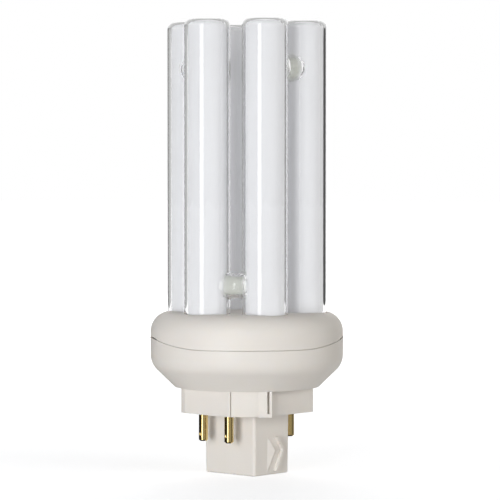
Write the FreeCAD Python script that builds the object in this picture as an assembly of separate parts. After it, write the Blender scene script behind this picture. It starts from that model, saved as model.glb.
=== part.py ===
import FreeCAD, Part
import math
import os

from FreeCAD import Vector

# A plug-in fluorescent lamp: six glass limbs fused into one vessel, on a four-pin plastic base.
# All sizes are in millimetres. The lamp stands on the foot of its post, centred on the origin, with +Z up.
# The pins stand beside the -Y and +Y faces of the post, and its -X and +X faces carry the latch chevrons.

# Heights, stacked from the foot of the post to the tops of the limbs
post_height = 16.0
skirt_height = 6.41
bowl_height = 10.69
cap_height = 8.75
limb_height = 75.15

# Glass limbs
limb_diameter = 11.8
limb_end_round = 2.3
limb_seat_depth = 8.4
limb_edge_margin = 4.12
glass_wall = 0.9

# Fused necks that join neighbouring limbs
neck_waist = 6.4
neck_mouth = 8.6
neck_flare = 1.1
top_neck_drop = 12.7
low_neck_rise = 7.15

# Pinched seals at the two electrode ends
seal_width = 8.0
seal_thickness = 2.6
seal_length = 4.5
seal_edge_round = 1.0
seal_lead_spacing = 4.0

# Collar: the cap and the bowl, parted by a bowed seam
collar_diameter = 50.1
cap_setback = 0.13
cap_shoulder_round = 5.1
cap_top_wall = 2.2
cap_inner_round = 3.0
seam_gap = 0.05
seam_flat = 25.0
seam_rise = 2.3
seam_turn = 45.0
cap_edge_round = 0.25
pry_width = 16.4
pry_height = 0.3
rim_lip = 1.5
spigot_clearance = 0.1
spigot_wall = 1.3
spigot_depth = 1.8
limb_clearance = 0.15
cement_depth = 3.0

# Bowl
bowl_foot_diameter = 37.54
bowl_cone_angle = 44.2
bowl_round = 5.3
bowl_draft = 0.15
bowl_wall = 2.3

# Keyed skirt
skirt_width = 30.3
skirt_depth = 32.4
plain_corner_x = 8.35
plain_corner_y = 7.5
plain_bevel_x = 2.3
plain_bevel_y = 1.05
keyed_corner = 6.46
skirt_edge_round = 0.35
skirt_wall = 1.7
skirt_floor = 1.8
key_turn = 45.0
key_width = 3.3
key_offset = 3.72
key_proud = 0.5
key_drop = 0.12
key_slot_width = 0.6
key_slot_offset = 4.48
key_slot_depth = 1.5
key_foot = 0.95
groove_inset = 0.15
groove_width = 0.25
groove_depth = 0.5

# Post, with a chevron on each latch face
post_width = 17.4
post_depth = 13.68
post_draft = 0.14
post_corner_round = 0.8
post_inner_round = 0.25
post_foot_round = 0.5
post_wall = 1.5
chevron_proud = 0.8
chevron_low = 1.0
chevron_high = 9.75
chevron_apex = 6.3
ramp_start = -1.87
ramp_crest = 0.3
ramp_overrun = 0.45
rib_start = 0.75
rib_lean = 2.43
rib_width = 0.93

# Contact pins
pin_spacing_x = 8.92
pin_spacing_y = 23.54
pin_diameter = 2.34
pin_length = 7.23
pin_throat_diameter = 2.0
pin_cup_diameter = 1.0
pin_tip_chamfer = 0.35
pin_flange_diameter = 3.6
pin_flange_height = 0.8
pin_neck_height = 1.2
pin_hole_clearance = 0.03
crimp_height = 1.9
crimp_radius = 0.6
crimp_depth = 0.3

# Lead wires
wire_diameter = 0.6
wire_drop = 3.0
wire_rise = 3.0
wire_bend = 2.4

# Heights and radii worked out from the sizes above
skirt_bottom = post_height
bowl_bottom = skirt_bottom + skirt_height
seam_level = bowl_bottom + bowl_height
cap_top = seam_level + cap_height
limb_top = cap_top + limb_height
limb_bottom = cap_top - limb_seat_depth
spigot_bottom = seam_level - spigot_depth
limb_radius = limb_diameter / 2
collar_radius = collar_diameter / 2
limb_ring_radius = collar_radius - limb_edge_margin - limb_radius
cap_radius = collar_radius - cap_setback
spigot_radius = collar_radius - rim_lip - spigot_clearance
cap_inner_radius = spigot_radius - spigot_wall
keyed_face = (skirt_width / 2 + skirt_depth / 2 - keyed_corner) / math.sqrt(2)
pin_radius = pin_diameter / 2
overlap = 1.0
tiny = 1e-5

UP = Vector(0, 0, 1)
ORIGIN = Vector(0, 0, 0)

# Six limbs, a sixth of a turn apart. Necks alternate between top and bottom along the discharge path,
# which runs from one electrode limb to the other.
half_step = 30
limb_angles = [30, 90, 150, 210, 270, 330]
top_neck_angles = [0, 120, 240]
low_neck_angles = [60, 300]
electrode_angles = {1: 150, -1: 210}


def corner_arc(before, corner, after, radius):
    """Start, middle and end of the arc that rounds one corner of a path."""
    back = (before - corner).normalize()
    onward = (after - corner).normalize()
    half_angle = back.getAngle(onward) / 2
    reach = radius / math.tan(half_angle)
    to_centre = (back + onward).normalize()
    centre = corner + to_centre * (radius / math.sin(half_angle))
    return corner + back * reach, centre - to_centre * radius, corner + onward * reach


def rounded_wire(points, radii, closed=True):
    """Wire of straight runs through the points, with each corner rounded to its radius."""
    count = len(points)
    starts = []
    ends = []
    arcs = []
    for index, corner in enumerate(points):
        radius = radii[index]
        if radius > 0:
            start, middle, end = corner_arc(points[index - 1], corner, points[(index + 1) % count], radius)
            arcs.append(Part.Arc(start, middle, end).toShape())
        else:
            start = corner
            end = corner
            arcs.append(None)
        starts.append(start)
        ends.append(end)
    edges = []
    for index in range(count):
        if arcs[index]:
            edges.append(arcs[index])
        following = (index + 1) % count
        last_open = not closed and following == 0
        if not last_open and ends[index].distanceToPoint(starts[following]) > tiny:
            edges.append(Part.makeLine(ends[index], starts[following]))
    return Part.Wire(edges)


def turned(corners):
    """Solid of revolution about Z from (radius, height, corner round) corners."""
    points = [Vector(radius, 0, height) for radius, height, round_size in corners]
    rounds = [round_size for radius, height, round_size in corners]
    return Part.Face(rounded_wire(points, rounds)).revolve(ORIGIN, UP, 360)


def prism(plan, round_size, low, high):
    """Upright prism on a plan of (x, y) corners, with its upright edges rounded."""
    points = [Vector(x, y, low) for x, y in plan]
    wire = rounded_wire(points, [round_size] * len(points))
    return Part.Face(wire).extrude(UP * (high - low))


def half_turn_pair(shape):
    """The shape and its copy turned half way round the lamp's axis."""
    copy = shape.copy()
    copy.rotate(ORIGIN, UP, 180)
    return [shape, copy]


def on_ring(radius, angle, height=0.0):
    """Point at a polar angle, in degrees, round the lamp's axis."""
    turn = math.radians(angle)
    return Vector(radius * math.cos(turn), radius * math.sin(turn), height)


def limb(angle, inset):
    """One limb as a solid with rounded ends, drawn in by the inset on every side."""
    radius = limb_radius - inset
    height = limb_top - limb_bottom - 2 * inset
    foot = on_ring(limb_ring_radius, angle, limb_bottom + inset)
    rod = Part.makeCylinder(radius, height, foot)
    rims = [edge for edge in rod.Edges if len(edge.Vertexes) == 1]
    return rod.makeFillet(limb_end_round - inset, rims)


def neck(angle, height, inset):
    """Waisted neck between the two limbs either side of a polar angle."""
    half_chord = limb_ring_radius * math.sin(math.radians(half_step))
    half_flare = half_chord - limb_radius + neck_flare
    mouth = neck_mouth / 2 - inset
    waist = neck_waist / 2 - inset
    flare = Part.Arc(Vector(mouth, 0, -half_flare), Vector(waist, 0, 0), Vector(mouth, 0, half_flare))
    corners = [
        Vector(mouth, 0, half_flare),
        Vector(mouth, 0, half_chord),
        Vector(0, 0, half_chord),
        Vector(0, 0, -half_chord),
        Vector(mouth, 0, -half_chord),
        Vector(mouth, 0, -half_flare),
    ]
    runs = [Part.makeLine(corners[index], corners[index + 1]) for index in range(len(corners) - 1)]
    spool = Part.Face(Part.Wire([flare.toShape()] + runs)).revolve(ORIGIN, UP, 360)
    spool.rotate(ORIGIN, Vector(1, 0, 0), 90)
    spool.rotate(ORIGIN, UP, angle)
    spool.translate(on_ring(limb_ring_radius * math.cos(math.radians(half_step)), angle, height))
    return spool


def limbs_and_necks(inset):
    """The vessel's outside, or with an inset its inside, as one solid."""
    pieces = [limb(angle, inset) for angle in limb_angles]
    pieces += [neck(angle, limb_top - top_neck_drop, inset) for angle in top_neck_angles]
    pieces += [neck(angle, cap_top + low_neck_rise, inset) for angle in low_neck_angles]
    return pieces[0].fuse(pieces[1:])


def pinched_seal(angle):
    """Flat blade of glass pressed round the two leads under an electrode limb."""
    half_length = seal_width / 2
    half_depth = seal_thickness / 2
    plan = [
        (-half_depth, -half_length),
        (half_depth, -half_length),
        (half_depth, half_length),
        (-half_depth, half_length),
    ]
    blade = prism(plan, seal_edge_round, limb_bottom - seal_length, limb_bottom + glass_wall / 2)
    blade.rotate(ORIGIN, UP, angle)
    blade.translate(on_ring(limb_ring_radius, angle))
    return blade


def discharge_tube():
    """Six limbs, five necks and two seals, fused and hollow: one sealed glass vessel."""
    outside = limbs_and_necks(0.0)
    outside = outside.fuse([pinched_seal(angle) for angle in electrode_angles.values()])
    return outside.cut(limbs_and_necks(glass_wall)).removeSplitter()


def seam_block(level):
    """Everything above the seam: flat through the middle, bowed up towards both ends."""
    half_flat = seam_flat / 2
    bow = collar_radius - half_flat
    bow_radius = (bow ** 2 + seam_rise ** 2) / (2 * seam_rise)
    side = collar_radius + overlap
    lid = cap_top + overlap

    def seam_point(across):
        outward = max(abs(across) - half_flat, 0.0)
        return Vector(across, -side, level + bow_radius - math.sqrt(bow_radius ** 2 - outward ** 2))

    middle = (half_flat + side) / 2
    right = Part.Arc(seam_point(half_flat), seam_point(middle), seam_point(side)).toShape()
    left = Part.Arc(seam_point(-side), seam_point(-middle), seam_point(-half_flat)).toShape()
    flat = Part.makeLine(seam_point(-half_flat), seam_point(half_flat))
    top_right = Vector(side, -side, lid)
    top_left = Vector(-side, -side, lid)
    frame = [
        Part.makeLine(seam_point(side), top_right),
        Part.makeLine(top_right, top_left),
        Part.makeLine(top_left, seam_point(-side)),
    ]
    block = Part.Face(Part.Wire([left, flat, right] + frame)).extrude(Vector(0, 2 * side, 0))
    block.rotate(ORIGIN, UP, seam_turn)
    return block


def seam_edges(shell):
    """Edges where the outside of the cap meets the seam, below its shoulder."""
    shoulder_level = cap_top - cap_shoulder_round
    found = []
    for edge in shell.Edges:
        middle = edge.valueAt((edge.FirstParameter + edge.LastParameter) / 2)
        outside = abs(math.hypot(middle.x, middle.y) - cap_radius) < tiny
        upright = edge.BoundBox.XLength + edge.BoundBox.YLength < tiny
        if outside and not upright and middle.z < shoulder_level - tiny:
            found.append(edge)
    return found


def below_seam(level):
    """Ring outside the spigot that a seam at the level leaves to the bowl."""
    foot = Vector(0, 0, spigot_bottom)
    outside = Part.makeCylinder(collar_radius + overlap, cap_top - spigot_bottom, foot)
    inside = Part.makeCylinder(spigot_radius, cap_top - spigot_bottom, foot)
    return outside.cut(inside).cut(seam_block(level))


def pry_slots():
    """Low slots under both bowed ends of the cap's edge, where the two shells can be parted."""
    reach = collar_radius + overlap
    bar = Part.makeBox(2 * reach, pry_width, cap_top, Vector(-reach, -pry_width / 2, 0))
    bar.rotate(ORIGIN, UP, seam_turn)
    return below_seam(seam_level + pry_height).common(bar)


def tube_holder_cap():
    """Upper shell: domed collar with six limb holes, and a spigot that drops into the bowl's rim."""
    under_top = cap_top - cap_top_wall
    shell = turned([
        (0, cap_top, 0),
        (cap_radius, cap_top, cap_shoulder_round),
        (cap_radius, spigot_bottom, 0),
        (cap_inner_radius, spigot_bottom, 0),
        (cap_inner_radius, under_top, cap_inner_round),
        (0, under_top, 0),
    ])
    cap = shell.cut(below_seam(seam_level))
    cap = cap.makeFillet(cap_edge_round, seam_edges(cap))
    openings = [pry_slots()]
    for angle in limb_angles:
        foot = on_ring(limb_ring_radius, angle, under_top - overlap)
        openings.append(Part.makeCylinder(limb_radius + limb_clearance, cap_top_wall + 2 * overlap, foot))
    return cap.cut(openings)


def tube_cement():
    """Bed of cement under the cap, poured round the limbs."""
    under_top = cap_top - cap_top_wall
    bed = turned([
        (0, under_top, 0),
        (cap_inner_radius, under_top, cap_inner_round),
        (cap_inner_radius, under_top - cement_depth, 0),
        (0, under_top - cement_depth, 0),
    ])
    return bed.cut([limb(angle, 0.0) for angle in limb_angles])


def bowl(inset):
    """Turned bowl with a flat foot, a cone and a rounded turn up to a wall with a little draft."""
    slope = math.radians(bowl_cone_angle)
    foot_radius = bowl_foot_diameter / 2 - inset * math.tan(slope / 2)
    wall_radius = collar_radius - bowl_draft - inset
    foot_level = bowl_bottom + inset
    turn_level = foot_level + (wall_radius - foot_radius) * math.tan(slope)
    return turned([
        (0, foot_level, 0),
        (foot_radius, foot_level, 0),
        (wall_radius, turn_level, bowl_round - inset),
        (collar_radius - inset, cap_top, 0),
        (0, cap_top, 0),
    ])


def drawn_in(plan, inset):
    """Corners of a counterclockwise plan with every side moved in by the inset."""
    corners = [Vector(x, y, 0) for x, y in plan]
    moved = []
    for index, corner in enumerate(corners):
        before = (corner - corners[index - 1]).normalize()
        after = (corners[(index + 1) % len(corners)] - corner).normalize()
        place = corner + UP.cross(before + after) * (inset / (1 + before.dot(after)))
        moved.append((place.x, place.y))
    return moved


def skirt_plan(inset):
    """Corners of the skirt: a rectangle with two corners cut flat for keys and two cut in two bevels."""
    half_x = skirt_width / 2
    half_y = skirt_depth / 2
    half = [
        (half_x - keyed_corner, -half_y),
        (half_x, -half_y + keyed_corner),
        (half_x, half_y - plain_corner_y),
        (half_x - plain_corner_x + plain_bevel_x, half_y - plain_bevel_y),
        (half_x - plain_corner_x, half_y),
    ]
    return drawn_in(half + [(-x, -y) for x, y in half], inset)


def key_bar(offset, width, front, back, low, high):
    """Upright bar square to the keyed corner, from its offset along the corner's face."""
    plan = [
        (offset - width / 2, -front),
        (offset + width / 2, -front),
        (offset + width / 2, -back),
        (offset - width / 2, -back),
    ]
    bar = prism(plan, 0, low, high)
    bar.rotate(ORIGIN, UP, key_turn)
    return bar


def skirt_key():
    """Key on the keyed corner: a bar with an upright slot that a small foot closes."""
    front = keyed_face + key_proud
    low = skirt_bottom - key_drop
    high = bowl_bottom + overlap
    bar = key_bar(key_offset, key_width, front, keyed_face - skirt_wall, low, high)
    slot_back = front - key_slot_depth
    slot = key_bar(key_slot_offset, key_slot_width, front + overlap, slot_back, low + key_foot, high)
    return bar.cut(slot)


def skirt_groove():
    """Fine upright groove beside the edge where the keyed corner's face begins."""
    edge = (skirt_width / 2 - keyed_corner - skirt_depth / 2) / math.sqrt(2)
    middle = edge + groove_inset + groove_width / 2
    back = keyed_face - groove_depth
    return key_bar(middle, groove_width, keyed_face + overlap, back, skirt_bottom - overlap, bowl_bottom)


def post_outline(inset, corner, height):
    """Rounded rectangle of the post at a height: it narrows by its draft towards the foot."""
    draft = post_draft * (1 - height / post_height)
    half_x = post_width / 2 - draft - inset
    half_y = post_depth / 2 - draft - inset
    points = [
        Vector(-half_x, -half_y, height),
        Vector(half_x, -half_y, height),
        Vector(half_x, half_y, height),
        Vector(-half_x, half_y, height),
    ]
    return rounded_wire(points, [corner] * 4)


def post():
    """Tapered post with a rounded foot."""
    low = post_outline(0, post_corner_round, 0)
    high = post_outline(0, post_corner_round, post_height + skirt_floor)
    block = Part.makeLoft([low, high], True, True)
    foot_edges = [edge for edge in block.Edges if edge.BoundBox.ZMax < tiny]
    return block.makeFillet(post_foot_round, foot_edges)


def post_hollow():
    """Inside of the post, open upwards."""
    low = post_outline(post_wall, post_inner_round, post_wall)
    high = post_outline(post_wall, post_inner_round, post_height + skirt_floor + overlap)
    return Part.makeLoft([low, high], True, True)


def face_prism(outline, start, end):
    """Prism from an outline of (y, z) corners, between two X places."""
    points = [Vector(start, y, z) for y, z in outline]
    return Part.Face(rounded_wire(points, [0] * len(points))).extrude(Vector(end - start, 0, 0))


def latch_chevron():
    """Latch relief on the +X face: a ramp that rises to a pointed crest, then an arrow-shaped rib."""
    face = post_width / 2
    root = face - post_wall / 2
    crest = face + chevron_proud
    ramp_plan = [
        (root, ramp_start),
        (face - post_draft, ramp_start),
        (crest, ramp_crest),
        (root, ramp_crest),
    ]
    ramp_low = chevron_low - ramp_overrun
    ramp_high = chevron_high + ramp_overrun
    ramp = prism(ramp_plan, 0, ramp_low, ramp_high)
    arrow = [(ramp_start, ramp_low), (ramp_crest, chevron_apex), (ramp_start, ramp_high)]
    ramp = ramp.common(face_prism(arrow, root, crest + overlap))
    rib_apex = rib_start + rib_lean
    rib = [
        (rib_start, chevron_low),
        (rib_start + rib_width, chevron_low),
        (rib_apex + rib_width, chevron_apex),
        (rib_start + rib_width, chevron_high),
        (rib_start, chevron_high),
        (rib_apex, chevron_apex),
    ]
    return [ramp, face_prism(rib, root, crest)]


def pin_places():
    """Centres of the four pins, as (x, y, side)."""
    half_x = pin_spacing_x / 2
    half_y = pin_spacing_y / 2
    return [(across * half_x, side * half_y, side) for side in (-1, 1) for across in (-1, 1)]


def base_shell():
    """Lower shell: bowl, keyed skirt and post in one hollow moulding."""
    skirt = prism(skirt_plan(0), skirt_edge_round, skirt_bottom, bowl_bottom + overlap)
    pieces = [skirt, post()]
    pieces += half_turn_pair(skirt_key())
    for relief in latch_chevron():
        pieces += half_turn_pair(relief)
    body = bowl(0.0).fuse(pieces)

    hollow_top = bowl_bottom + bowl_wall + overlap
    skirt_hollow = prism(skirt_plan(skirt_wall), 0, skirt_bottom + skirt_floor, hollow_top)
    rebate_radius = spigot_radius + spigot_clearance
    rebate = Part.makeCylinder(rebate_radius, cap_top - spigot_bottom, Vector(0, 0, spigot_bottom))
    hollows = [bowl(bowl_wall), skirt_hollow, post_hollow(), rebate]
    hollows += half_turn_pair(skirt_groove())
    for x, y, side in pin_places():
        hole = Part.makeCylinder(pin_radius + pin_hole_clearance, skirt_floor + 2 * overlap)
        hole.translate(Vector(x, y, skirt_bottom - overlap))
        hollows.append(hole)
    return body.cut(hollows).cut(seam_block(seam_level - seam_gap)).removeSplitter()


def contact_pin(x, y, side):
    """Turned pin on a flange that seats on the skirt floor, with a slim throat through the floor.

    A cup at the top takes its lead, and a dent near the tip is its crimp.
    """
    tip = skirt_bottom - pin_length
    seat = skirt_bottom + skirt_floor
    collar_level = seat + pin_flange_height
    mouth = collar_level + pin_neck_height
    throat = pin_throat_diameter / 2
    flange = pin_flange_diameter / 2
    cup = pin_cup_diameter / 2
    pin = turned([
        (0, tip, 0),
        (pin_radius - pin_tip_chamfer, tip, 0),
        (pin_radius, tip + pin_tip_chamfer, 0),
        (pin_radius, skirt_bottom, 0),
        (throat, skirt_bottom, 0),
        (throat, seat, 0),
        (flange, seat, 0),
        (flange, collar_level, 0),
        (throat, collar_level, 0),
        (throat, mouth, 0),
        (cup, mouth, 0),
        (cup, seat, 0),
        (0, seat, 0),
    ])
    dent_centre = side * (pin_radius + crimp_radius - crimp_depth)
    dent = Part.makeSphere(crimp_radius, Vector(0, dent_centre, tip + crimp_height))
    pin = pin.cut(dent)
    pin.translate(Vector(x, y, 0))
    return pin


def lead_wire(x, y, side):
    """Lead from an electrode seal, down into a pin and on to the bottom of its cup."""
    angle = electrode_angles[side]
    near = 1 if x < 0 else -1
    along_seal = on_ring(side * near * seal_lead_spacing / 2, angle - 90)
    seal_foot = on_ring(limb_ring_radius, angle, limb_bottom - seal_length) + along_seal
    cup_floor = Vector(x, y, skirt_bottom + skirt_floor)
    pin_mouth = cup_floor.z + pin_flange_height + pin_neck_height
    points = [
        seal_foot,
        seal_foot - UP * wire_drop,
        Vector(x, y, pin_mouth + wire_rise),
        cup_floor,
    ]
    route = rounded_wire(points, [0, wire_bend, wire_bend, 0], closed=False)
    ring = Part.Wire(Part.makeCircle(wire_diameter / 2, seal_foot, UP))
    return route.makePipeShell([ring], True, False)


def save(shape, name):
    """One STEP file for one piece."""
    shape.exportStep("parts/" + name + ".step")


def main():
    os.makedirs("parts", exist_ok=True)
    save(discharge_tube(), "discharge_tube")
    save(tube_holder_cap(), "tube_holder_cap")
    save(tube_cement(), "tube_cement")
    save(base_shell(), "base_shell")
    for index, place in enumerate(pin_places(), start=1):
        save(contact_pin(*place), "contact_pin_" + str(index))
        save(lead_wire(*place), "lead_wire_" + str(index))


main()
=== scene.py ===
import math

import bpy
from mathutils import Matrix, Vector


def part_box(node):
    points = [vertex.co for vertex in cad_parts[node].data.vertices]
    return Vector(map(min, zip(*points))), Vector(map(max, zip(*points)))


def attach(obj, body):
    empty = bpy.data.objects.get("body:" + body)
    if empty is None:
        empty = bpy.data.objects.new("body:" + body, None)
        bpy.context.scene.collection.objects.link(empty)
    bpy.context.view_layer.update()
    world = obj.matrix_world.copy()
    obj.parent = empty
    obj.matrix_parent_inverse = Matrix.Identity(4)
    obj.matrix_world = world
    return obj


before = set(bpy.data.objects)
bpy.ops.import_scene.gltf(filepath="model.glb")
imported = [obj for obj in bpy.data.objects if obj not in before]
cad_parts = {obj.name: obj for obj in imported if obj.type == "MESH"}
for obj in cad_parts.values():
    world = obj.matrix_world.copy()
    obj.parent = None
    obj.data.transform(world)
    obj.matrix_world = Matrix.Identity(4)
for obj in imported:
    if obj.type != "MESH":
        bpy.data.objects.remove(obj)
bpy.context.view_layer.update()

# A plug-in fluorescent lamp: six clear glass limbs, coated white inside, on a moulded base with brass pins.
# Lengths are in metres, and the lamp's own are written as millimetres times mm.
mm = 0.001

# Glass vessel, as the frame gives it
glass_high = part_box("discharge_tube")[1]
cap_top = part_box("tube_holder_cap")[1].z
limb_radius = 5.9 * mm
limb_end_round = 2.3 * mm
limb_seat_depth = 8.4 * mm
glass_wall = 0.9 * mm
ring_radius = glass_high.y - limb_radius
limb_top = glass_high.z
limb_bottom = cap_top - limb_seat_depth
limb_count = 6
first_limb_angle = 30

# Necks between neighbouring limbs
neck_waist = 6.4 * mm
top_neck_drop = 12.7 * mm
low_neck_rise = 7.15 * mm
top_neck_height = limb_top - top_neck_drop
low_neck_height = cap_top + low_neck_rise
# Each neck's polar angle in degrees, and its height
necks = [
    (0, top_neck_height),
    (120, top_neck_height),
    (240, top_neck_height),
    (60, low_neck_height),
    (300, low_neck_height),
]

# White coat inside the glass, thin in the necks and near them, where its grey is partly painted shade of
# the dim inside
coat_gap = 0.02 * mm
coat_thickness = 0.06 * mm
coat_inset = glass_wall + coat_gap
coat_light_share = 0.35
# Emission on the coat of an unlit lamp: painted light that stands for light scattered between the limbs
painted_scatter_glow = 0.145
thin_coat_reach = 3.6 * mm
full_coat_reach = 5.2 * mm
coat_segments = 64
coat_round_steps = 10
coat_sharp_angle = math.radians(40)
lining_segments = 48
pole_radius = 0.001 * mm
pole_merge = 0.004 * mm

# Bounces after which a ray that is caught in the glass goes straight on
glass_bounces = 3.5

# Range that most of a noise lies in
noise_low = 0.3
noise_high = 0.7

# Camera, as fitted to the picture: a square frame, with a long lens a little above mid-height
camera_place = Vector((423.0, -469.7, 75.8)) * mm
camera_aim = Vector((0.6, 0.54, 57.66)) * mm
camera_lens = 175.8
camera_sensor = 36
camera_azimuth = 42

# Studio, where 1 is the level of white and angles are in degrees to the right of the camera's side
cool_light = (0.965, 0.98, 1.0)
warm_light = (1.0, 0.985, 0.95)
surround_level = 0.14
floor_half_width = 6.0
floor_shadow_share = 0.42
floor_shadow_reach = 0.4
under_card_half_width = 0.3
under_card_height = -0.3
wall_foot = -1.2
low_wall_top = 0.2
flag_foot = -0.2
top_flag_foot = 0.16
card_top = 1.2


def add_node(tree, kind, **settings):
    """A new node in a tree, with its own settings."""
    node = tree.nodes.new(kind)
    for name, value in settings.items():
        setattr(node, name, value)
    return node


def plug(tree, socket, value):
    """Feeds an input from another node's output, or sets it to a plain value."""
    if isinstance(value, bpy.types.NodeSocket):
        tree.links.new(value, socket)
    else:
        socket.default_value = value


def maths(tree, operation, *values):
    """Result of one sum on sockets or plain numbers."""
    node = add_node(tree, "ShaderNodeMath", operation=operation)
    for socket, value in zip(node.inputs, values):
        plug(tree, socket, value)
    return node.outputs[0]


def spread(tree, value, low, high, to_low, to_high):
    """A value moved from one range to another and held there."""
    node = add_node(tree, "ShaderNodeMapRange")
    for socket, number in zip(node.inputs, (value, low, high, to_low, to_high)):
        plug(tree, socket, number)
    return node.outputs["Result"]


def object_place(tree, stretch=(1, 1, 1)):
    """The surface's own coordinates, stretched along each axis."""
    coordinates = add_node(tree, "ShaderNodeTexCoord")
    mapping = add_node(tree, "ShaderNodeMapping")
    plug(tree, mapping.inputs["Vector"], coordinates.outputs["Object"])
    plug(tree, mapping.inputs["Scale"], stretch)
    return mapping.outputs["Vector"]


def noise(tree, place, grain, detail=2.0):
    """Even noise with features about one grain across."""
    node = add_node(tree, "ShaderNodeTexNoise")
    plug(tree, node.inputs["Vector"], place)
    plug(tree, node.inputs["Scale"], 1 / grain)
    plug(tree, node.inputs["Detail"], detail)
    return node.outputs["Fac"]


def tint(tree, factor, first, second):
    """A colour between two, by a factor. The second may come from another node."""
    node = add_node(tree, "ShaderNodeMix", data_type="RGBA")
    plug(tree, node.inputs["Factor"], factor)
    plug(tree, node.inputs["A"], (*first, 1))
    plain = not isinstance(second, bpy.types.NodeSocket)
    plug(tree, node.inputs["B"], (*second, 1) if plain else second)
    return node.outputs["Result"]


def bump(tree, height, depth):
    """A normal pushed by a height from 0 to 1 over a depth in metres."""
    node = add_node(tree, "ShaderNodeBump")
    plug(tree, node.inputs["Height"], height)
    plug(tree, node.inputs["Distance"], depth)
    plug(tree, node.inputs["Strength"], 1.0)
    return node.outputs["Normal"]


def new_material(name):
    """An empty node material and its Principled shader."""
    material = bpy.data.materials.new(name)
    material.use_nodes = True
    tree = material.node_tree
    return material, tree, tree.nodes["Principled BSDF"]


def set_shader(tree, shader, **values):
    """Sets a shader's sockets, whose names are given with underscores for spaces."""
    for name, value in values.items():
        plug(tree, shader.inputs[name.replace("_", " ")], value)


def mixed(tree, factor, first, second):
    """Two shaders mixed by a factor, as what the surface shows."""
    mix = add_node(tree, "ShaderNodeMixShader")
    plug(tree, mix.inputs[0], factor)
    plug(tree, mix.inputs[1], first)
    plug(tree, mix.inputs[2], second)
    plug(tree, tree.nodes["Material Output"].inputs["Surface"], mix.outputs["Shader"])


def clear_glass():
    """Clear drawn glass that lets lamps through to the coat, and lets go of rays caught in its wall."""
    draw_line_width = 2.5 * mm
    draw_line_depth = 0.0008 * mm
    along_limb = (1, 1, 0.08)
    material, tree, shader = new_material("clear_glass")
    drawn = noise(tree, object_place(tree, along_limb), draw_line_width)
    set_shader(
        tree,
        shader,
        Base_Color=(0.988, 0.992, 0.99, 1),
        Roughness=0.0,
        IOR=1.5,
        Transmission_Weight=1.0,
        Normal=bump(tree, drawn, draw_line_depth),
    )
    path = add_node(tree, "ShaderNodeLightPath")
    lamp_ray = maths(tree, "MAXIMUM", path.outputs["Is Shadow Ray"], path.outputs["Is Diffuse Ray"])
    caught_ray = maths(tree, "GREATER_THAN", path.outputs["Ray Depth"], glass_bounces)
    passing = maths(tree, "MAXIMUM", lamp_ray, caught_ray)
    through = add_node(tree, "ShaderNodeBsdfTransparent")
    mixed(tree, passing, shader.outputs["BSDF"], through.outputs["BSDF"])
    return material


def neck_centre(angle, height):
    """Middle of a neck, half way between the axes of the limbs it joins."""
    reach = ring_radius * math.cos(math.pi / limb_count)
    turn = math.radians(angle)
    return reach * math.cos(turn), reach * math.sin(turn), height


def nearest_neck(tree, place):
    """Distance from a place to the middle of the nearest neck."""
    nearest = 1.0
    for angle, height in necks:
        gap = add_node(tree, "ShaderNodeVectorMath", operation="DISTANCE")
        plug(tree, gap.inputs[0], place)
        plug(tree, gap.inputs[1], neck_centre(angle, height))
        nearest = maths(tree, "MINIMUM", nearest, gap.outputs["Value"])
    return nearest


def white_coat():
    """White powder, in faint streaks down the glass and thin by the necks, that lets some light through.
    Its grey by the necks is partly the thinner coat and partly painted shade of the dim inside seen through
    it.

    A faint glow stands for light that scatters many times between the limbs.
    """
    streak_low = (0.845, 0.846, 0.86)
    streak_high = (0.88, 0.881, 0.894)
    # Grey by the necks: partly the thinner coat, partly painted shade of the dim inside seen through it
    thin_coat_and_shade_colour = (0.68, 0.69, 0.65)
    streak_width = 1.5 * mm
    along_limb = (1, 1, 0.05)
    edge_raggedness = 1.2 * mm
    powder_grain = 0.12 * mm
    powder_depth = 0.01 * mm
    material, tree, shader = new_material("white_coat")
    place = object_place(tree)
    streaks = noise(tree, object_place(tree, along_limb), streak_width)
    full_colour = tint(tree, streaks, streak_low, streak_high)
    wander = noise(tree, place, edge_raggedness)
    ragged = maths(tree, "MULTIPLY_ADD", wander, edge_raggedness, nearest_neck(tree, place))
    cover = spread(tree, ragged, thin_coat_reach, full_coat_reach, 0, 1)
    colour = tint(tree, cover, thin_coat_and_shade_colour, full_colour)
    set_shader(
        tree,
        shader,
        Base_Color=colour,
        Roughness=1.0,
        Specular_IOR_Level=0.0,
        # Painted glow: emission that stands for light scattered between the limbs
        Emission_Color=colour,
        Emission_Strength=painted_scatter_glow,
        Normal=bump(tree, noise(tree, place, powder_grain), powder_depth),
    )
    through = add_node(tree, "ShaderNodeBsdfTranslucent")
    plug(tree, through.inputs["Color"], colour)
    mixed(tree, coat_light_share, shader.outputs["BSDF"], through.outputs["BSDF"])
    return material


def moulded_plastic():
    """Warm off-white satin plastic with a fine spark-eroded texture, which light enters a little."""
    deep_colour = (0.84, 0.796, 0.744)
    pale_colour = (0.87, 0.831, 0.785)
    cloud_size = 9 * mm
    texture_grain = 0.22 * mm
    texture_depth = 0.02 * mm
    material, tree, shader = new_material("moulded_plastic")
    place = object_place(tree)
    clouds = noise(tree, place, cloud_size, detail=4)
    texture = noise(tree, place, texture_grain, detail=3)
    set_shader(
        tree,
        shader,
        Base_Color=tint(tree, clouds, deep_colour, pale_colour),
        Roughness=spread(tree, texture, noise_low, noise_high, 0.42, 0.58),
        Normal=bump(tree, texture, texture_depth),
        Subsurface_Weight=0.12,
        Subsurface_Radius=(1.0, 0.8, 0.6),
        Subsurface_Scale=0.8 * mm,
    )
    return material


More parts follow.
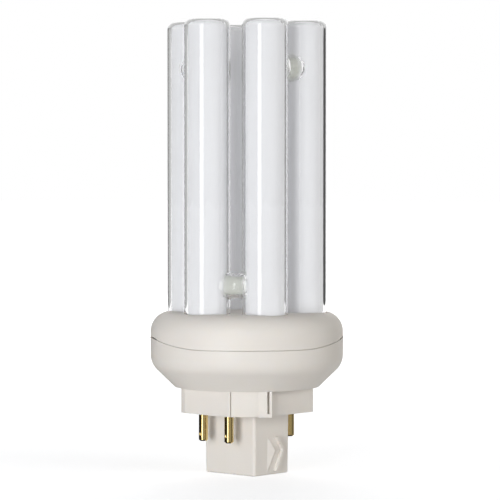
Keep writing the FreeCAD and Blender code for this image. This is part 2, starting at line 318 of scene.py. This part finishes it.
def turned_brass():
    """Bright brass with fine rings left by turning."""
    deep_colour = (0.76, 0.56, 0.22)
    pale_colour = (0.85, 0.67, 0.31)
    stain_size = 1.4 * mm
    ring_pitch = 0.06 * mm
    ring_depth = 0.004 * mm
    around_pin = (0.02, 0.02, 1)
    material, tree, shader = new_material("turned_brass")
    rings = noise(tree, object_place(tree, around_pin), ring_pitch, detail=3)
    stain = noise(tree, object_place(tree), stain_size, detail=3)
    set_shader(
        tree,
        shader,
        Base_Color=tint(tree, stain, deep_colour, pale_colour),
        Metallic=1.0,
        Roughness=spread(tree, stain, noise_low, noise_high, 0.1, 0.16),
        Normal=bump(tree, rings, ring_depth),
    )
    return material


def set_cement():
    """Dull grey-white cement with coarse grains."""
    deep_colour = (0.62, 0.6, 0.56)
    pale_colour = (0.76, 0.74, 0.7)
    grain_size = 0.5 * mm
    grain_depth = 0.1 * mm
    material, tree, shader = new_material("set_cement")
    grains = noise(tree, object_place(tree), grain_size, detail=4)
    set_shader(
        tree,
        shader,
        Base_Color=tint(tree, grains, deep_colour, pale_colour),
        Roughness=0.9,
        Normal=bump(tree, grains, grain_depth),
    )
    return material


def plated_wire():
    """Drawn wire with a dull nickel plate."""
    deep_colour = (0.56, 0.55, 0.52)
    pale_colour = (0.68, 0.66, 0.63)
    draw_line_width = 0.1 * mm
    draw_line_depth = 0.003 * mm
    along_wire = (1, 1, 0.05)
    material, tree, shader = new_material("plated_wire")
    drawn = noise(tree, object_place(tree, along_wire), draw_line_width)
    set_shader(
        tree,
        shader,
        Base_Color=tint(tree, drawn, deep_colour, pale_colour),
        Metallic=1.0,
        Roughness=0.3,
        Normal=bump(tree, drawn, draw_line_depth),
    )
    return material


def tree_inputs(tree, **kinds):
    """Named inputs of a geometry tree, as the outputs of the node that gives them."""
    tree.interface.new_socket("Geometry", in_out="OUTPUT", socket_type="NodeSocketGeometry")
    for name, kind in kinds.items():
        tree.interface.new_socket(name.replace("_", " "), in_out="INPUT", socket_type="NodeSocket" + kind)
    return add_node(tree, "NodeGroupInput").outputs


def profile_point(tree, radius, height):
    """A point of a half section: radius along X, and height down along Y, as turning needs it."""
    node = add_node(tree, "ShaderNodeCombineXYZ")
    plug(tree, node.inputs["X"], radius)
    plug(tree, node.inputs["Y"], maths(tree, "MULTIPLY", height, -1))
    return node.outputs["Vector"]


def half_section(tree, points):
    """An open line through the points of a half section. A new switch has room for two of them."""
    line = add_node(tree, "GeometryNodeMeshLine")
    plug(tree, line.inputs["Count"], len(points))
    corners = add_node(tree, "GeometryNodeIndexSwitch", data_type="VECTOR")
    for _ in points[2:]:
        corners.index_switch_items.new()
    plug(tree, corners.inputs["Index"], add_node(tree, "GeometryNodeInputIndex").outputs["Index"])
    for socket, (radius, height) in zip(list(corners.inputs)[1:], points):
        plug(tree, socket, profile_point(tree, radius, height))
    placed = add_node(tree, "GeometryNodeSetPosition")
    plug(tree, placed.inputs["Geometry"], line.outputs["Mesh"])
    plug(tree, placed.inputs["Position"], corners.outputs["Output"])
    outline = add_node(tree, "GeometryNodeMeshToCurve")
    plug(tree, outline.inputs["Mesh"], placed.outputs["Geometry"])
    return outline.outputs["Curve"]


def turned_limb(tree, radius, low, high, end_round):
    """A closed limb turned from its half section, with rounded ends, closed poles and faces outwards."""
    rounded = add_node(tree, "GeometryNodeFilletCurve", mode="POLY")
    outline = half_section(tree, [(0.0, low), (radius, low), (radius, high), (0.0, high)])
    plug(tree, rounded.inputs["Curve"], outline)
    plug(tree, rounded.inputs["Count"], coat_round_steps)
    plug(tree, rounded.inputs["Radius"], end_round)
    spindle = add_node(tree, "GeometryNodeCurvePrimitiveCircle")
    plug(tree, spindle.inputs["Resolution"], coat_segments)
    plug(tree, spindle.inputs["Radius"], pole_radius)
    skin = add_node(tree, "GeometryNodeCurveToMesh")
    plug(tree, skin.inputs["Curve"], spindle.outputs["Curve"])
    plug(tree, skin.inputs["Profile Curve"], rounded.outputs["Curve"])
    closed = add_node(tree, "GeometryNodeMergeByDistance")
    plug(tree, closed.inputs["Geometry"], skin.outputs["Mesh"])
    plug(tree, closed.inputs["Distance"], pole_merge)
    outward = add_node(tree, "GeometryNodeFlipFaces")
    plug(tree, outward.inputs["Mesh"], closed.outputs["Geometry"])
    return outward.outputs["Mesh"]


def realized(tree, geometry):
    """Geometry with its copies made real."""
    node = add_node(tree, "GeometryNodeRealizeInstances")
    plug(tree, node.inputs["Geometry"], geometry)
    return node.outputs["Geometry"]


def ring_of_limbs(tree, limb, radius):
    """Six copies of a limb on a ring about the lamp's axis."""
    ring = add_node(tree, "GeometryNodeMeshCircle")
    plug(tree, ring.inputs["Vertices"], limb_count)
    plug(tree, ring.inputs["Radius"], radius)
    turn = add_node(tree, "GeometryNodeTransform")
    plug(tree, turn.inputs["Geometry"], ring.outputs["Mesh"])
    plug(tree, turn.inputs["Rotation"], (0, 0, math.radians(first_limb_angle)))
    copies = add_node(tree, "GeometryNodeInstanceOnPoints")
    plug(tree, copies.inputs["Points"], turn.outputs["Geometry"])
    plug(tree, copies.inputs["Instance"], limb)
    return realized(tree, copies.outputs["Instances"])


def neck_linings(tree, radius):
    """Round plugs along the necks, each as long as the way between two limbs' axes."""
    lining = add_node(tree, "GeometryNodeMeshCylinder")
    plug(tree, lining.inputs["Vertices"], lining_segments)
    plug(tree, lining.inputs["Radius"], radius)
    plug(tree, lining.inputs["Depth"], ring_radius)
    joined = add_node(tree, "GeometryNodeJoinGeometry")
    for angle, height in necks:
        placed = add_node(tree, "GeometryNodeTransform")
        plug(tree, placed.inputs["Geometry"], lining.outputs["Mesh"])
        plug(tree, placed.inputs["Translation"], neck_centre(angle, height))
        plug(tree, placed.inputs["Rotation"], (math.pi / 2, 0, math.radians(angle)))
        plug(tree, joined.inputs["Geometry"], placed.outputs["Geometry"])
    return joined.outputs["Geometry"]


def fused(tree, first, second):
    """Two closed meshes as one."""
    union = add_node(tree, "GeometryNodeMeshBoolean", operation="UNION", solver="MANIFOLD")
    plug(tree, union.inputs["Mesh 2"], first)
    plug(tree, union.inputs["Mesh 2"], second)
    return union.outputs["Mesh"]


def smooth_but_for_edges(tree, mesh, sharp_angle):
    """Smooth shading, with edges kept where faces meet at more than an angle."""
    smooth = add_node(tree, "GeometryNodeSetShadeSmooth", domain="FACE")
    plug(tree, smooth.inputs["Geometry"], mesh)
    bend = add_node(tree, "GeometryNodeInputMeshEdgeAngle")
    soft = maths(tree, "LESS_THAN", bend.outputs["Unsigned Angle"], sharp_angle)
    edges = add_node(tree, "GeometryNodeSetShadeSmooth", domain="EDGE")
    plug(tree, edges.inputs["Geometry"], smooth.outputs["Geometry"])
    plug(tree, edges.inputs["Shade Smooth"], soft)
    return edges.outputs["Geometry"]


def coat_tree():
    """Geometry tree of the coat: six thin shells joined by a thin lining through each neck."""
    tree = bpy.data.node_groups.new("coat_shells", "GeometryNodeTree")
    given = tree_inputs(
        tree,
        Coat_Radius="Float",
        Thickness="Float",
        Low_End="Float",
        High_End="Float",
        End_Round="Float",
        Ring_Radius="Float",
        Lining_Radius="Float",
        Coat="Material",
    )
    skin = given["Thickness"]
    outside = turned_limb(
        tree,
        given["Coat Radius"],
        given["Low End"],
        given["High End"],
        given["End Round"],
    )
    inside = turned_limb(
        tree,
        maths(tree, "SUBTRACT", given["Coat Radius"], skin),
        maths(tree, "ADD", given["Low End"], skin),
        maths(tree, "SUBTRACT", given["High End"], skin),
        maths(tree, "SUBTRACT", given["End Round"], skin),
    )
    outer_ring = ring_of_limbs(tree, outside, given["Ring Radius"])
    inner_ring = ring_of_limbs(tree, inside, given["Ring Radius"])
    outer_lining = neck_linings(tree, given["Lining Radius"])
    inner_lining = neck_linings(tree, maths(tree, "SUBTRACT", given["Lining Radius"], skin))
    shell = add_node(tree, "GeometryNodeMeshBoolean", operation="DIFFERENCE", solver="MANIFOLD")
    plug(tree, shell.inputs["Mesh 1"], fused(tree, outer_ring, outer_lining))
    plug(tree, shell.inputs["Mesh 2"], fused(tree, inner_ring, inner_lining))
    smooth = smooth_but_for_edges(tree, shell.outputs["Mesh"], coat_sharp_angle)
    painted = add_node(tree, "GeometryNodeSetMaterial")
    plug(tree, painted.inputs["Geometry"], realized(tree, smooth))
    plug(tree, painted.inputs["Material"], given["Coat"])
    result = add_node(tree, "NodeGroupOutput")
    plug(tree, result.inputs["Geometry"], painted.outputs["Geometry"])
    return tree


def piece_from_tree(name, tree, **values):
    """A plain mesh piece made once by a geometry tree."""
    piece = bpy.data.objects.new(name, bpy.data.meshes.new(name))
    bpy.context.scene.collection.objects.link(piece)
    modifier = piece.modifiers.new("shape", "NODES")
    modifier.node_group = tree
    for item in tree.interface.items_tree:
        key = item.name.replace(" ", "_")
        if item.in_out == "INPUT" and key in values:
            modifier[item.identifier] = values[key]
    made = piece.evaluated_get(bpy.context.evaluated_depsgraph_get())
    mesh = bpy.data.meshes.new_from_object(made)
    piece.modifiers.remove(modifier)
    piece.data = mesh
    return piece


def phosphor_coat(material):
    """The white coat on the inside of all six limbs and the necks."""
    piece = piece_from_tree(
        "phosphor_coat",
        coat_tree(),
        Coat_Radius=limb_radius - coat_inset,
        Thickness=coat_thickness,
        Low_End=limb_bottom + coat_inset,
        High_End=limb_top - coat_inset,
        End_Round=limb_end_round - coat_inset,
        Ring_Radius=ring_radius,
        Lining_Radius=neck_waist / 2 - coat_inset,
        Coat=material,
    )
    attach(piece, "root")


def dress_nodes(material, *names):
    """Gives a finish to CAD nodes."""
    for name in names:
        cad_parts[name].material_slots[0].material = material


def numbered(name):
    """The names of the four pins or leads."""
    return [name + str(number) for number in range(1, 5)]


def sight_ray(tree):
    """1 for rays that show the background: from the camera, or by way of gloss or glass."""
    path = add_node(tree, "ShaderNodeLightPath")
    mirrored = maths(tree, "MAXIMUM", path.outputs["Is Glossy Ray"], path.outputs["Is Transmission Ray"])
    return maths(tree, "MAXIMUM", path.outputs["Is Camera Ray"], mirrored)


def white_surround():
    """White background, and an even soft light of a lower level."""
    world = bpy.data.worlds.new("white_surround")
    world.use_nodes = True
    tree = world.node_tree
    seen = add_node(tree, "ShaderNodeBackground")
    plug(tree, seen.inputs["Color"], (1, 1, 1, 1))
    lit = tree.nodes["Background"]
    plug(tree, lit.inputs["Color"], (*warm_light, 1))
    plug(tree, lit.inputs["Strength"], surround_level)
    mix = add_node(tree, "ShaderNodeMixShader")
    plug(tree, mix.inputs[0], sight_ray(tree))
    plug(tree, mix.inputs[1], lit.outputs["Background"])
    plug(tree, mix.inputs[2], seen.outputs["Background"])
    plug(tree, tree.nodes["World Output"].inputs["Surface"], mix.outputs["Shader"])
    bpy.context.scene.world = world


def floor_finish():
    """White floor that keeps a share of the lamp's shadow near it, and is plain background further out.

    What is seen of it is a little blue, so that it stays neutral in the warm light.
    """
    lighting_colour = (0.85, 0.85, 0.85)
    seen_colour = (0.78, 0.795, 0.83)
    material, tree, shader = new_material("white_floor")
    seen = sight_ray(tree)
    away = add_node(tree, "ShaderNodeVectorMath", operation="LENGTH")
    plug(tree, away.inputs[0], object_place(tree))
    plain_share = spread(tree, away.outputs["Value"], 0, floor_shadow_reach, 1 - floor_shadow_share, 1)
    set_shader(
        tree,
        shader,
        Base_Color=tint(tree, seen, lighting_colour, seen_colour),
        Roughness=0.9,
        Specular_IOR_Level=0.0,
        Emission_Color=(1, 1, 1, 1),
        Emission_Strength=maths(tree, "MULTIPLY", seen, plain_share),
    )
    return material


def flat_card(name, corners, material):
    """A four-cornered flat piece of the studio."""
    mesh = bpy.data.meshes.new(name)
    mesh.from_pydata(corners, [], [(0, 1, 2, 3)])
    mesh.materials.append(material)
    card = bpy.data.objects.new(name, mesh)
    bpy.context.scene.collection.objects.link(card)
    return card


def level_corners(half_width, height):
    """Corners of a level square round the lamp's axis."""
    sides = [(-1, -1), (1, -1), (1, 1), (-1, 1)]
    return [(across * half_width, along * half_width, height) for across, along in sides]


def studio_floor():
    """Wide white floor under the post, which gloss and the low lights see past as through a glass table."""
    floor = flat_card("studio_floor", level_corners(floor_half_width, 0), floor_finish())
    floor.visible_glossy = False
    floor.visible_shadow = False


def from_camera(angle, distance, height):
    """A place at an angle to the right of the camera's side, at a distance from the lamp's axis."""
    turn = math.radians(camera_azimuth + angle)
    return Vector((math.sin(turn) * distance, -math.cos(turn) * distance, height))


def upright_corners(first_angle, last_angle, distance, low, high):
    """Corners of an upright card between two angles to the right of the camera's side."""
    return [
        from_camera(first_angle, distance, low),
        from_camera(last_angle, distance, low),
        from_camera(last_angle, distance, high),
        from_camera(first_angle, distance, high),
    ]


def studio_card(name, corners, level):
    """A card of an even grey level, which throws no light or shadow on the lamp."""
    material, tree, shader = new_material(name)
    set_shader(
        tree,
        shader,
        Base_Color=(0, 0, 0, 1),
        Specular_IOR_Level=0.0,
        Emission_Color=(1, 1, 1, 1),
        Emission_Strength=level,
    )
    card = flat_card(name, corners, material)
    card.visible_camera = False
    card.visible_diffuse = False
    card.visible_shadow = False
    return card


def gloss_card(name, corners, level):
    """A card that only gloss shows."""
    studio_card(name, corners, level).visible_transmission = False


def glass_card(name, corners, level):
    """A card that shows only through glass."""
    studio_card(name, corners, level).visible_glossy = False


def studio_cards():
    """Grey cards: some shade the pins and the gloss of the glass, and some draw the edges of the glass."""
    gloss_card("left_wall", upright_corners(-178, -38, 1.2, wall_foot, low_wall_top), 0.03)
    gloss_card("front_wall", upright_corners(-19, 55, 1.4, wall_foot, card_top), 0.36)
    gloss_card("right_wall", upright_corners(55, 140, 1.4, wall_foot, low_wall_top), 0.16)
    gloss_card("under_card", level_corners(under_card_half_width, under_card_height), 0.03)
    glass_card("right_flag", upright_corners(125, 161, 0.9, flag_foot, card_top), 0.07)
    glass_card("left_flag", upright_corners(-180, -131, 0.9, flag_foot, card_top), 0.65)
    glass_card("left_edge_flag", upright_corners(-179, -166, 0.85, flag_foot, card_top), 0.15)
    glass_card("top_flag", upright_corners(120, 240, 1.0, top_flag_foot, card_top), 0.45)


def soft_light(name, angle, distance, height, size, level, colour):
    """An upright light that faces the lamp's axis, with its level beside white."""
    width, tall = size
    lamp = bpy.data.lights.new(name, "AREA")
    lamp.shape = "RECTANGLE"
    lamp.size = width
    lamp.size_y = tall
    lamp.energy = level * math.pi * width * tall
    lamp.color = colour
    light = bpy.data.objects.new(name, lamp)
    bpy.context.scene.collection.objects.link(light)
    light.location = from_camera(angle, distance, height)
    aim = Vector((0, 0, height)) - light.location
    light.rotation_euler = aim.to_track_quat("-Z", "Y").to_euler()
    light.visible_camera = False
    return light


def form_light(*values):
    """A soft light that shows form and isn't mirrored."""
    light = soft_light(*values)
    light.visible_glossy = False
    light.visible_transmission = False


def gloss_light(*values):
    """A soft light that is only mirrored."""
    soft_light(*values).visible_diffuse = False


def studio_lights():
    """A low key light on the left, a strip that the glass mirrors, wide fills and a high light behind."""
    form_light("key_light", -25, 0.45, 0.04, (0.14, 0.2), 13.5, cool_light)
    gloss_light("streak_strip", -28.5, 0.45, 0.05, (0.135, 0.5), 3.0, cool_light)
    form_light("left_fill", -75, 1.0, 0.1, (0.6, 0.6), 0.65, warm_light)
    form_light("right_fill", 60, 1.0, 0.3, (0.6, 0.6), 2.9, warm_light)
    form_light("back_light", 180, 1.0, 0.6, (0.8, 0.8), 3.2, warm_light)


def picture_camera():
    """Camera at the picture's angle, height and framing."""
    lens = bpy.data.cameras.new("picture_camera")
    lens.lens = camera_lens
    lens.sensor_width = camera_sensor
    camera = bpy.data.objects.new("picture_camera", lens)
    bpy.context.scene.collection.objects.link(camera)
    camera.location = camera_place
    camera.rotation_euler = (camera_aim - camera_place).to_track_quat("-Z", "Y").to_euler()
    bpy.context.scene.camera = camera


def build():
    """Dresses the lamp's nodes, adds the coat and sets up the studio round it."""
    dress_nodes(clear_glass(), "discharge_tube")
    dress_nodes(moulded_plastic(), "tube_holder_cap", "base_shell")
    dress_nodes(set_cement(), "tube_cement")
    dress_nodes(turned_brass(), *numbered("contact_pin_"))
    dress_nodes(plated_wire(), *numbered("lead_wire_"))
    phosphor_coat(white_coat())
    bpy.context.scene.view_settings.view_transform = "Standard"
    white_surround()
    studio_floor()
    studio_cards()
    studio_lights()
    picture_camera()


build()
